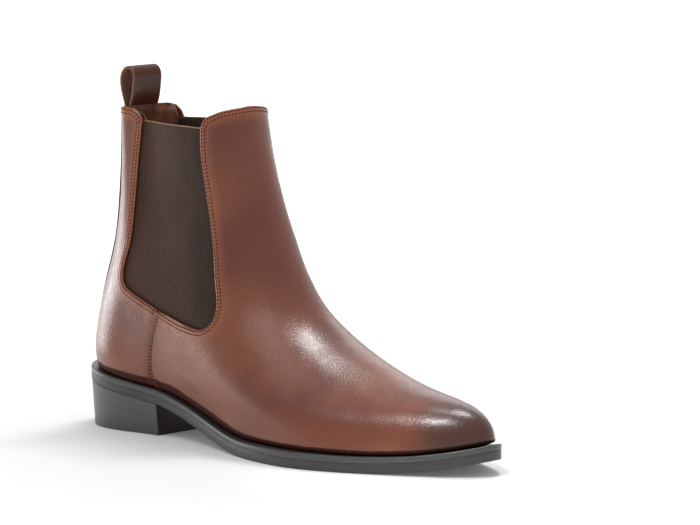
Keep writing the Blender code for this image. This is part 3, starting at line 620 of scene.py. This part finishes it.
def side_boundary(low, edge, dx):
    """A panel's side from the bottom up, along seam, gore bottom and gore edge: th, s, v and seam rows."""
    seam_q = np.linspace(0, 1, SEAM_V * FINE + 1)
    seam_k = chord(SEAM)
    seam = spline(seam_k, np.asarray(SEAM, float))(seam_q * seam_k[-1])
    pts = np.asarray(low + edge, float)
    k = chord(pts)
    a, b = k[len(low) - 1], k[len(low)]
    rise = np.concatenate([np.linspace(0, UP_TO_NEAR, 18 * FINE), 1 - NEAR[::-1]])
    parts = [(np.linspace(0, a, 9 * FINE + 1), np.linspace(LOW_V, CORNER_V - 1, 9 * FINE + 1)),
             (np.linspace(a, b, FINE + 1)[1:-1], np.linspace(CORNER_V - 1, CORNER_V, FINE + 1)[1:-1]),
             (b + (k[-1] - b) * rise, CORNER_V + (TOP_V - CORNER_V) * rise)]
    q, v = np.concatenate([c[0] for c in parts]), np.concatenate([c[1] for c in parts])
    xz = np.concatenate([seam + [dx, 0], spline(k, pts)(q)])
    v = np.concatenate([SEAM_V * seam_q, v]) / TOP_V
    th, s = locate(xz[:, 0], xz[:, 1])
    s[0] = 0.0
    return th, s, v, len(seam)


def spread(cols):
    return np.concatenate([np.linspace(0, UP_TO_NEAR, cols), 1 - NEAR[::-1]])


def front_grid():
    """Front panel, from one side over the instep to the other."""
    tb, sb, v, seam_rows = side_boundary(LOW_FRONT, EDGE_FRONT, SEAM_HALF)
    top = np.asarray(FRONT_TOP, float)
    tt, ts = locate(top[:, 0], top[:, 1])
    order = np.argsort(tt)
    tt, ts = tt[order], ts[order]
    middle = np.interp(v, V_KEYS, [0, 0.38, 0.53, ts[-1]])
    half = spread(90)
    a = np.concatenate([-half[:0:-1], half])
    th = np.pi + a[None] * (np.pi - tb[:, None])
    w = np.abs(a)[None] ** 1.5
    s = (1 - w) * middle[:, None] + w * sb[:, None]
    at = np.clip(np.pi - np.abs(a) * (np.pi - tb[-1]), tt[0], tt[-1])
    collar = np.interp(at, tt, ts) * 0.3 + spline(tt, ts)(at) * 0.7
    s += (v ** 10)[:, None] * (collar - s[-1])[None]
    return th, np.maximum(s, 0), seam_rows


def rear_grid():
    """Rear panel of the lateral side, from the back seam to the gore."""
    tb, sb, v, _ = side_boundary(LOW_REAR, EDGE_REAR, -SEAM_HALF)
    top = np.asarray(REAR_TOP, float)
    tt, ts = locate(top[:, 0], top[:, 1])
    tt[0] = 0.0
    middle = np.interp(v, V_KEYS, [0, 0.36, 0.52, ts[0]])
    a = spread(56)
    w = np.abs(a)[None] ** 1.5
    s = (1 - w) * middle[:, None] + w * sb[:, None]
    at = np.clip(a * tb[-1], 0, tt[-1])
    s += (v ** 10)[:, None] * (np.interp(at, tt, ts) - s[-1])[None]
    return a[None] * tb[:, None] + (1 - a)[None] * BACK_SEAM_TH, np.maximum(s, 0)


FRONT_GRID_TH, FRONT_GRID_S, SEAM_ROWS = front_grid()
REAR_GRID_TH, REAR_GRID_S = rear_grid()


def tones_and_shade(seams):
    """Attributes for the burnished darkening down the shaft front, which is also painted shade there, the
    dark toe and the seam's shade.
    """
    def values(th, p):
        # down the shaft front: burnished, and painted shade where it turns away from the lights
        front = np.exp(-((np.abs(th) - np.pi) / 0.62) ** 2) * smooth((p[..., 2] - 45) / 40)
        toe, tip = smooth((p[..., 0] - 222) / 42), smooth((p[..., 0] - 220) / 36)
        return {"burnish": np.clip(front + 0.4 * toe, 0, 1), "toe": 0.15 * toe + 0.82 * tip,
                "seam": distance(p, seams)}
    return values


def uppers():
    """Front panel over the two rear panels: at the side seams it stands proud and they sink."""
    p = last_point(FRONT_GRID_TH, FRONT_GRID_S)
    seams = [p[:SEAM_ROWS, 0], p[:SEAM_ROWS, -1]]
    seam_d = distance(p, seams)
    sheet("upper_front", FRONT_GRID_TH, FRONT_GRID_S, LEATHER, "leather", ("front_upper",), extra=tones_and_shade(seams),
          lasted=True, free=[p[SEAM_ROWS:, 0], p[SEAM_ROWS:, -1], p[-1]], uneven=0.22,
          step=rounding(seam_d, 0.9) - 0.35 * (1 - smooth(seam_d / 5.0)))
    p = last_point(REAR_GRID_TH, REAR_GRID_S)
    seam_d = distance(p, [p[:SEAM_ROWS, -1]])
    for side, name in SIDES:
        q = last_point(side * REAR_GRID_TH, REAR_GRID_S)
        sheet("upper_rear_" + name, side * REAR_GRID_TH, REAR_GRID_S, LEATHER, "leather",
              ("rear_upper_" + name,), extra=tones_and_shade(seams), lasted=True, free=[q[SEAM_ROWS:, -1], q[-1]],
              uneven=0.18, step=0.3 * (1 - smooth(seam_d / 4.0)))


uppers()


# ---------------------------------------------------------------- gores
def weave(th, p):
    """Rib and pick counts across and up the elastic, and the shade towards its front edge."""
    return {"rib": (p[..., 0] + RIB_LEAN * p[..., 2]) / RIB, "pick": p[..., 2] / PICK,
            "shade": smooth((p[..., 0] + 0.23 * p[..., 2] - 92) / 26) * 0.8}


def gores():
    """Elastic panels, with the edge of their tape showing along the top."""
    t, a = np.linspace(0, 1, 90), np.linspace(0, 1, 70)[None]
    rear_th, rear_s = locate(*spline(GORE_KNOTS, GORE_REAR)(t).T)
    front_th, front_s = locate(*spline(GORE_KNOTS, GORE_FRONT)(t).T)
    th = rear_th[:, None] * (1 - a) + front_th[:, None] * a
    s = rear_s[:, None] * (1 - a) + front_s[:, None] * a
    for side, name in SIDES:
        sheet("elastic_" + name, side * th, s, ELASTIC, "elastic", ("gore_" + name,), depth=GORE_AT,
              thick=GORE_T, rim=(0.4, 0.4), extra=weave)
        top_th, top_s = side * th[-1], s[-1]
        top = last_point(top_th, top_s) - normal(top_th, top_s) * (GORE_AT + GORE_T / 2)
        shown = (top[:, 0] > 38.5) & (top[:, 0] < 91.5)
        tube("elastic_selvage_" + name, top[shown] + [0, 0, 0.15], 0.42, TAN_EDGE)


gores()


# ---------------------------------------------------------------- linings, heel strip and tab anchor
def lining_depth(th, s):
    return LINING_AT - (LINING_AT - LINING_TOP_AT) * smooth((s - 0.965) / 0.028)


def lining_over_tab(th, s):
    """Lining depth, standing off the upper where the ends of the pull tab are caught behind it."""
    y = np.abs(last_point(th, s)[..., 1] - SHAFT_Y) + 60 * (np.abs(th) > 1.2)
    tab = (1 - smooth((y - TAB_W / 2 + 0.5) / 7.0)) * smooth((s - 0.80) / 0.1)
    return lining_depth(th, s) * (1 - tab) + LINING_TAB_AT * tab


def lining(name, th, s, every, depth, node):
    """Lining on a coarser copy of the upper's grid, from just above the insole."""
    rows = np.unique(np.concatenate([np.arange(0, len(s), 3), np.arange(len(s) - 8, len(s))]))
    cols = np.unique(np.append(np.arange(0, s.shape[1], every), s.shape[1] - 1))
    th, s = th[np.ix_(rows, cols)], np.maximum(s[np.ix_(rows, cols)], BOTTOM_S)
    keep = [i for i in range(len(s)) if i == 0 or s[i].min() > BOTTOM_S + 0.01]
    th, s = th[keep], s[keep]
    sheet(name, th, s, LINING, "lining", (node,), depth=depth(th, s), thick=LINING_T, rim=(0.3, 0.3))


def band(name, s, half, mat, node, **build):
    """Upright band of leather on the back seam, half millimetres wide to each side."""
    reach = half / (PLAN(0.0) @ np.array(WIDTHS, float).T * WROWS(s)).sum(-1)
    th, s = np.array(ACROSS)[None] * reach[:, None], np.repeat(s[:, None], len(ACROSS), 1)
    sheet(name, th, s, mat, "leather_dark", (node,), **build)


lining("lining_front", np.pi + (FRONT_GRID_TH - np.pi) * 0.996, FRONT_GRID_S, 3, lining_depth, "front_lining")
lining("lining_rear", np.concatenate([-REAR_GRID_TH[:, :0:-1], REAR_GRID_TH], 1) * 0.99,
       np.concatenate([REAR_GRID_S[:, :0:-1], REAR_GRID_S], 1), 2, lining_over_tab, "rear_lining")
strip_s = np.linspace(0.012, 0.985, 120)
strip_half = np.interp(strip_s, STRIP_S, STRIP_W * np.array(STRIP_HALF))
band("heel_strip", strip_s, strip_half, STRIP_LEATHER, "back_strip", depth=-GAP - STRIP_T, thick=STRIP_T,
     rim=(0.55, 0.3))
band("tab_anchor", np.linspace(ANCHOR_S0, 0.994, 40), TAB_W / 2, TAB_LEATHER, "pull_tab_anchor",
     depth=UPPER_T + 0.4, thick=3.2, rim=(0.4, 0.7))


# ---------------------------------------------------------------- pull tab
def bow(y, z):
    """The strap follows the collar at its root and straightens towards its top."""
    p = last_point(np.linspace(0, 0.9, 60), 0.98)
    return np.interp(abs(y), SHAFT_Y - p[:, 1], p[:, 0] - p[0, 0]) * (1 - smooth((z - 163.0) / 20.0))


def pull_tab():
    """Folded strap, with a line pressed in beside each edge; it bends at the collar."""
    k = chord(TAB_SHAPE)
    middle = spline(k, np.asarray(TAB_SHAPE, float))(np.linspace(0, k[-1], 111))
    d = np.gradient(middle, axis=0)
    d /= np.linalg.norm(d, axis=1, keepdims=True)
    out = np.stack([-d[:, 1], d[:, 0]], 1)
    verts, edge = [], []
    for sign in (1, -1):
        for y in TAB_W / 2 * np.array(TAB_ACROSS):
            from_edge = TAB_W / 2 - abs(y)
            press = 0.12 * np.exp(-((from_edge - 2.2) / 0.5) ** 2)
            h = TAB_T / 2 - float(rounding(np.array(from_edge), 0.72)) - press
            q = middle + sign * out * h
            verts.append(np.column_stack([q[:, 0] + bow(y, q[:, 1]), np.full(len(q), y + SHAFT_Y), q[:, 1]]))
            edge.append(np.full(len(q), from_edge))
    rows = len(TAB_ACROSS)
    flesh_and_fill = np.repeat([0.0, 1.0], rows * len(middle))
    tab = make("tab_loop", np.array(verts).reshape(-1, 3), shell_faces(rows, len(middle)), TAB_LEATHER,
               ("pull_tab",), None, {"edge": edge, "flesh_and_fill": flesh_and_fill})
    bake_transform(tab)


pull_tab()


# ---------------------------------------------------------------- stitches
def shifted(th, s, d, sign):
    """Line on the last, d millimetres to one side of another line."""
    p, n = last_point(th, s), normal(th, s)
    side = np.cross(n, np.gradient(p, axis=0)) * sign
    side /= np.linalg.norm(side, axis=1, keepdims=True)
    e = 1e-3
    per_th = (last_point(th + e, s) - last_point(th - e, s)) / (2 * e)
    per_s = (last_point(th, s) - last_point(th, s - e)) / e
    g = np.stack([per_th, per_s], -1)
    step = np.linalg.solve(np.swapaxes(g, 1, 2) @ g, np.swapaxes(g, 1, 2) @ (side * d)[..., None])[..., 0]
    return th + step[:, 0], s + step[:, 1]


def beads(name, sections, mat):
    """Row of small closed shapes, each a stack of six-sided sections."""
    verts = np.stack(sections, 1)
    per = RING * len(sections)
    ends = [tuple(reversed(range(RING))), tuple(range(per - RING, per))]
    base = [tuple(f) for f in grid_faces(len(sections), RING, True)] + ends
    faces = [tuple(i + j * per for i in f) for j in range(len(verts)) for f in base]
    make(name, verts.reshape(-1, 3), faces, mat)


def stitches(name, th, s, pitch=1.9, raise_by=0.09):
    """Row of short raised threads with a needle hole between each pair."""
    p, n = last_point(th, s), normal(th, s)
    k = chord(p)
    count = max(2, int(k[-1] / pitch))
    real = k[-1] / count
    a = np.linspace(0, 2 * np.pi, RING, endpoint=False)
    cos, sin = np.cos(a)[None, :, None], np.sin(a)[None, :, None]

    def here(q, of):
        return np.stack([np.interp(q, k, of[:, i]) for i in range(3)], -1)

    at = (np.arange(count) + 0.5) * k[-1] / count
    sections = []
    for along, wide, high in THREAD_SHAPE:
        c, up = here(at + along * real * THREAD_LEN, p), here(at + along * real * THREAD_LEN, n)
        side = np.cross(up, here(at + 0.1, p) - here(at - 0.1, p))
        side /= np.linalg.norm(side, axis=1, keepdims=True)
        c = c + up * (raise_by + high * THREAD_R * 2)
        sections.append(c[:, None] + THREAD_R * wide * (cos * side[:, None] * 0.9 + sin * up[:, None] * 0.6))
    beads(name, sections, THREAD)

    # needle holes: nearly flush dark discs, painted shade where the holes are
    at = np.arange(count + 1) * real
    c, up = here(at, p), here(at, n)
    t = here(np.clip(at + 0.1, 0, k[-1]), p) - here(np.clip(at - 0.1, 0, k[-1]), p)
    t /= np.linalg.norm(t, axis=1, keepdims=True)
    side = np.cross(up, t)
    turn = cos * side[:, None] + sin * t[:, None]
    sections = [(c + up * (raise_by + high))[:, None] + HOLE_R * wide * turn for wide, high in HOLE_SHAPE]
    beads(name + "_holes", sections, HOLE)


def stitching():
    """Two rows round each panel's free edge and two beside each side seam."""
    rows = slice(SEAM_ROWS + 2, None)
    th, s = FRONT_GRID_TH, FRONT_GRID_S
    path_th = np.concatenate([th[rows, 0], th[-1, 1:-1], th[rows, -1][::-1]])
    path_s = np.concatenate([s[rows, 0], s[-1, 1:-1], s[rows, -1][::-1]])
    for i, off in enumerate(EDGE_ROWS, 1):
        stitches("stitch_front_%d" % i, *shifted(path_th, path_s, off, -1))
    for side, name in SIDES:
        path_th = np.concatenate([REAR_GRID_TH[rows, -1], REAR_GRID_TH[-1, -2:3:-1]]) * side
        path_s = np.concatenate([REAR_GRID_S[rows, -1], REAR_GRID_S[-1, -2:3:-1]])
        for i, off in enumerate(EDGE_ROWS, 1):
            stitches("stitch_rear_%s_%d" % (name, i), *shifted(path_th, path_s, off, side))
        path_th, path_s = th[4:SEAM_ROWS, 0 if side > 0 else -1], s[4:SEAM_ROWS, 0]
        for i, off in enumerate(SEAM_LINES, 1):
            stitches("stitch_seam_%s_%d" % (name, i), *shifted(path_th, path_s, off, -side), 1.8,
                     raise_by=0.37 - 0.05 * off)


stitching()


# ---------------------------------------------------------------- sole and heel
def slab(name, profile, stations, mat, stands_for):
    """Sole layer between the two sides, with its edge profile as (inset, height function), top to bottom."""
    sides = []
    for sign in (1, -1):
        for inset, height in profile:
            p = sole_edge(sign * stations, inset)
            sides.append(np.column_stack([p, height(p[:, 0])]))
    n, k = len(stations), len(profile)
    verts = np.concatenate(sides)
    ids = np.arange(2 * k * n).reshape(2, k, n)
    faces = []
    for i in range(n - 1):
        for r in range(k - 1):
            faces.append((ids[0, r, i], ids[0, r, i + 1], ids[0, r + 1, i + 1], ids[0, r + 1, i]))
            faces.append((ids[1, r, i], ids[1, r + 1, i], ids[1, r + 1, i + 1], ids[1, r, i + 1]))
        faces.append((ids[0, 0, i], ids[1, 0, i], ids[1, 0, i + 1], ids[0, 0, i + 1]))
        faces.append((ids[0, -1, i], ids[0, -1, i + 1], ids[1, -1, i + 1], ids[1, -1, i]))
    for i in (0, n - 1):
        if np.abs(verts[ids[0, 0, i]] - verts[ids[1, 0, i]]).max() > 1e-3:
            faces.append([ids[0, r, i] for r in range(k)] + [ids[1, r, i] for r in reversed(range(k))])
    whole = []
    for f in faces:
        keep = []
        for i in f:
            if not any(np.abs(verts[i] - verts[j]).max() < 1e-6 for j in keep):
                keep.append(i)
        if len(keep) > 2:
            whole.append(keep)
    obj = make(name, verts, whole, mat, stands_for, merge=1e-7)
    obj.data.set_sharp_from_angle(angle=np.radians(38))


def lift(height, dz):
    return lambda x: height(x) + dz


def level(z):
    return lambda x: np.full(np.shape(x), float(z))


def welt_strip():
    """Welt all round the sole, with a rounded top edge."""
    under = lift(welt_z, -WELT_T)
    section = [(1.2, welt_z), (0.55, lift(welt_z, -0.05)), (0.18, lift(welt_z, -0.28)),
               (0.0, lift(welt_z, -0.75)), (0.0, lift(under, 0.16)), (0.04, lift(under, 0.05)),
               (0.14, under), (WELT_W, under), (WELT_W, welt_z)]
    th = np.linspace(0, 2 * np.pi, 300, endpoint=False)
    verts = np.stack([np.column_stack([sole_edge(th, i), h(sole_edge(th, i)[:, 0])]) for i, h in section], 1)
    n, k = len(th), len(section)
    faces = [(i * k + j, i * k + (j + 1) % k, (i + 1) % n * k + (j + 1) % k, (i + 1) % n * k + j)
             for i in range(n) for j in range(k)]
    welt = make("welt_strip", verts.reshape(-1, 3), faces, WELT, ("welt",))
    welt.data.set_sharp_from_angle(angle=np.radians(50))


def heel():
    """Stacked heel on its top piece, both cut off square at the breast."""
    breast = np.arccos(1 - 2 * BREAST_X / SOLE_LEN)
    stations = np.concatenate([np.linspace(0, 0.97 * breast, 60), breast * np.array([0.985, 0.995, 1])])
    bottom = TOP_PIECE_T + SLIT

    def down(f):
        """Height a fraction of the way down from the heel seat to the heel's bottom."""
        return lambda x: (tread_z(x) - SLIT) * (1 - f) + bottom * f

    slab("heel_stack", [(0.6, down(0)), (0.35, down(0.02)), (0.75, down(0.35)), (1.15, down(0.7)),
                        (HEEL_TAPER, down(0.985)), (HEEL_TAPER + 0.1, level(bottom))],
         stations, HEEL, ("heel_block",))
    slab("heel_lift", [(HEEL_TAPER + 0.12, level(TOP_PIECE_T)), (HEEL_TAPER, level(TOP_PIECE_T - 0.12)),
                       (HEEL_TAPER + 0.1, level(0.6)), (HEEL_TAPER + 0.25, level(0.2)),
                       (HEEL_TAPER + 0.7, level(0))],
         stations, TOP_PIECE, ("heel_top_piece",))


def inner_parts():
    """Materials of the parts inside the boot, which are shown as the frame's own nodes."""
    mats = {"toe_puff": STIFF, "heel_counter": STIFF, "insole_board": BOARD, "sock_liner": SOCK,
            "bottom_filler": FILLER, "shank": STEEL}
    mats.update({"heel_nail_%d" % i: STEEL for i in range(1, 6)})
    for name, mat in mats.items():
        mesh = NODES[name].data
        if not mesh.materials:
            mesh.materials.append(mat)
        for i in range(len(mesh.materials)):
            mesh.materials[i] = mat


welt_strip()
leaf_top = lift(welt_z, -WELT_T - SLIT)
slab("sole_leaf", [(0.24, leaf_top), (0.12, lift(leaf_top, -0.06)), (0.08, lift(leaf_top, -0.2)),
                   (0.08, lift(tread_z, 0.7)), (0.2, lift(tread_z, 0.2)), (0.55, tread_z)],
     np.linspace(0, np.pi, 150), SOLE, ("outsole",))
heel()
inner_parts()


# ---------------------------------------------------------------- floor, light and camera
def pale_floor():
    """Nearly white floor that glows more away from the boot, so that it runs out into the background."""
    sh = Shader("pale_floor", Emission_Color=(1, 1, 1, 1), Specular_IOR_Level=0.1)
    speck = sh.noise(40.0, 3.0)
    away = sh.add("ShaderNodeVectorMath", out="Value", props={"operation": "LENGTH"}, i0=sh.at)
    sh.tree.links.new(sh.span(away, 0.1, 0.7, 0.08, 0.7), sh.out.inputs["Emission Strength"])
    sh.finish(sh.mix(speck, (0.86, 0.86, 0.86, 1), (0.9, 0.9, 0.9, 1)), sh.span(speck, 0.0, 1.0, 0.8, 0.95))
    mesh = bpy.data.meshes.new("floor")
    lines = np.linspace(-9, 9, 13)
    mesh.from_pydata([(x, y, 0.0) for x in lines for y in lines], [], grid_faces(13, 13).tolist())
    mesh.materials.append(sh.mat)
    floor = bpy.data.objects.new("floor", mesh)
    SCENE.collection.objects.link(floor)


def white_world(strength):
    """Even white surroundings, and colours shown as they are."""
    SCENE.view_settings.view_transform = "Standard"
    SCENE.view_settings.look = "None"
    world = bpy.data.worlds.new("studio")
    world.use_nodes = True
    world.node_tree.nodes["Background"].inputs["Color"].default_value = (1, 1, 1, 1)
    world.node_tree.nodes["Background"].inputs["Strength"].default_value = strength
    SCENE.world = world


def softbox(name, at, target, size, radiance, spread=180.0):
    """Rectangular light of the given size at one point, facing another."""
    light = bpy.data.lights.new(name, "AREA")
    light.shape, light.size, light.size_y = "RECTANGLE", size[0], size[1]
    light.energy = radiance * np.pi * size[0] * size[1]
    light.spread = np.radians(spread)
    obj = bpy.data.objects.new(name, light)
    obj.location = Vector(at)
    obj.rotation_euler = (Vector(target) - Vector(at)).to_track_quat("-Z", "Y").to_euler()
    SCENE.collection.objects.link(obj)


def camera(target, yaw, rise, away, lens, aim_right, aim_up):
    """Camera away metres from the target, turned by yaw and raised by rise degrees, aimed beside it."""
    yaw, rise = np.radians(yaw), np.radians(rise)
    look = Vector((-np.sin(yaw) * np.cos(rise), np.cos(yaw) * np.cos(rise), -np.sin(rise)))
    right = look.cross(Vector((0, 0, 1))).normalized()
    data = bpy.data.cameras.new("camera")
    data.sensor_width, data.lens = 36.0, lens
    data.clip_start, data.clip_end = 0.1, 60.0
    obj = bpy.data.objects.new("camera", data)
    SCENE.collection.objects.link(obj)
    obj.location = target - look * away
    aim = target + right * aim_right + right.cross(look) * aim_up
    obj.rotation_euler = (aim - obj.location).to_track_quat("-Z", "Y").to_euler()
    SCENE.camera = obj


pale_floor()
white_world(0.62)
softbox("softbox_over_1", (-0.09, 0.6, 1.55), (0.02, 0, 0.05), (0.24, 0.36), 26.0)
softbox("softbox_over_2", (-0.17, 0.32, 1.55), (0.02, 0, 0.05), (0.22, 0.24), 16.0)
softbox("softbox_side", (0.06, -0.58, 1.62), (0.1, 0, 0.03), (0.8, 0.7), 1.6)
softbox("softbox_toe", (0.12, -0.135, 0.3), (0.112, -0.012, 0.03), (0.06, 0.05), 2.2, 42.0)
softbox("softbox_left", (-2.2, -0.25, 0.18), (0, 0, 0.08), (1.2, 0.34), 6.2)
softbox("softbox_back", (-1.3, 1.5, 0.9), (0, 0, 0.08), (1.8, 0.8), 1.1)
camera(Vector((0.001, 0.004, 0.080)), yaw=43.4, rise=7.7, away=2.359, lens=241.8, aim_right=0.0270938,
       aim_up=0.0128946)
